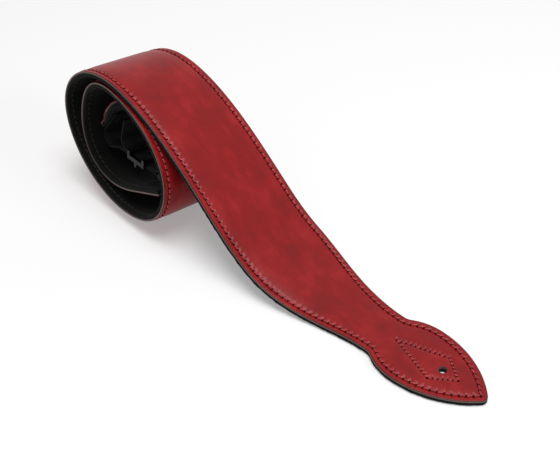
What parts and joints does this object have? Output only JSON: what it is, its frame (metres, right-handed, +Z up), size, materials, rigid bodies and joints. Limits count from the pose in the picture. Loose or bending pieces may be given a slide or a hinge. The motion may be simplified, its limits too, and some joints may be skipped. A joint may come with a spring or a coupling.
{
  "type": "guitar strap",
  "caption": "Padded leather guitar strap lying part rolled up: pointed button-hole leaf in front, webbing adjuster with slide, ring and second leaf inside the roll.",
  "frame": {"origin": "foot of the front leaf's button hole, on the surface the strap lies on", "axes": "+X along the front leaf to its tip, +Y across the strap, +Z up; the strap runs off towards -X into its roll"},
  "size_m": [0.3367, 0.0785, 0.0964],
  "materials": {
    "red_leather": "mottled pull-up leather, semi-gloss",
    "black_suede": "soft napped suede, matt",
    "foam": "closed-cell foam sheet",
    "stiffener": "plain leather board",
    "red_thread": "twisted bonded thread",
    "black_thread": "twisted bonded thread",
    "black_webbing": "woven webbing",
    "nickel_steel": "black nickel plating, satin"
  },
  "bodies": {
    "strap": {"face_leather": "red_leather", "rear_leaf_face": "red_leather", "backing_suede": "black_suede", "rear_leaf_backing": "black_suede", "padding_foam": "foam", "front_leaf_stiffener": "stiffener", "rear_leaf_stiffener": "stiffener", "edge_needle_thread": "red_thread", "kite_needle_thread": "red_thread", "rear_leaf_needle_thread": "red_thread", "edge_bobbin_thread": "black_thread", "kite_bobbin_thread": "black_thread", "rear_leaf_bobbin_thread": "black_thread", "neck_needle_thread": "red_thread", "neck_bobbin_thread": "black_thread", "chape_needle_thread": "black_thread", "chape_bobbin_thread": "red_thread", "adjuster_webbing": "black_webbing", "ring_chape": "black_webbing", "ring": "nickel_steel"},
    "slide": {"tri_glide": "nickel_steel"}
  },
  "joints": [
    {"name": "slide_travel", "type": "slide", "parent": "strap", "child": "slide", "axis": [0.9981, -0.0607, 0.0099], "range_m": [-0.006, 0.008]}
  ]
}
